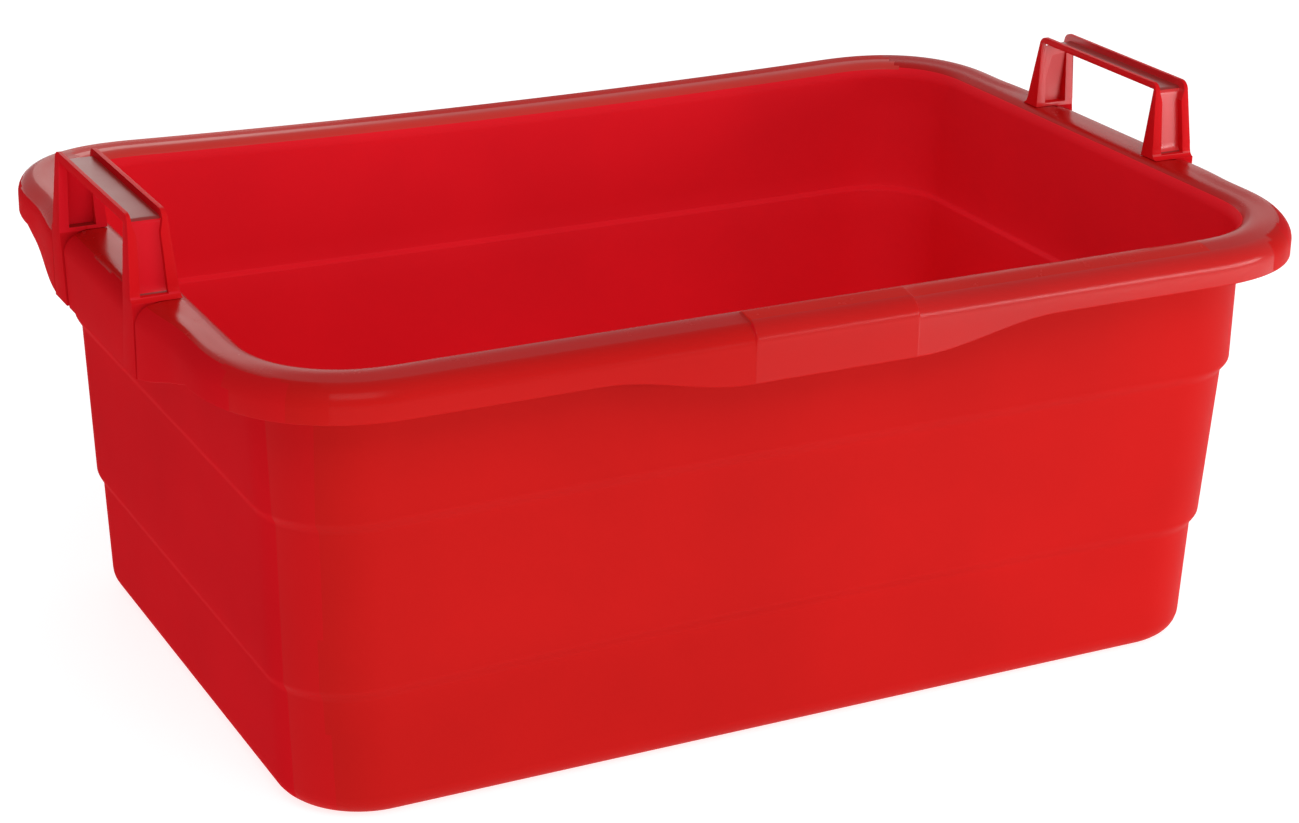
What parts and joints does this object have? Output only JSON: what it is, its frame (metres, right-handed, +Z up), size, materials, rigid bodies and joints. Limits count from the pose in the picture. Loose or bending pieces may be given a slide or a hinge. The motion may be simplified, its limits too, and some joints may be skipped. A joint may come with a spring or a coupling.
{
  "type": "mortar mixing tub",
  "caption": "Stepped rectangular plastic tub for mixing and carrying mortar, with a wide rim, a hanging skirt and an upright grip at each end.",
  "frame": {"origin": "middle of the flat underside, on the surface that the tub stands on", "axes": "+X along the length, through both grips; +Y across the width; +Z up"},
  "size_m": [0.7092, 0.4786, 0.3263],
  "materials": {
    "shell_plastic": "satin red, fine grain outside",
    "grip_plastic": "smooth red"
  },
  "bodies": {
    "root": {"tub_shell": "shell_plastic", "handle_right": "grip_plastic", "handle_left": "grip_plastic"}
  },
  "joints": []
}
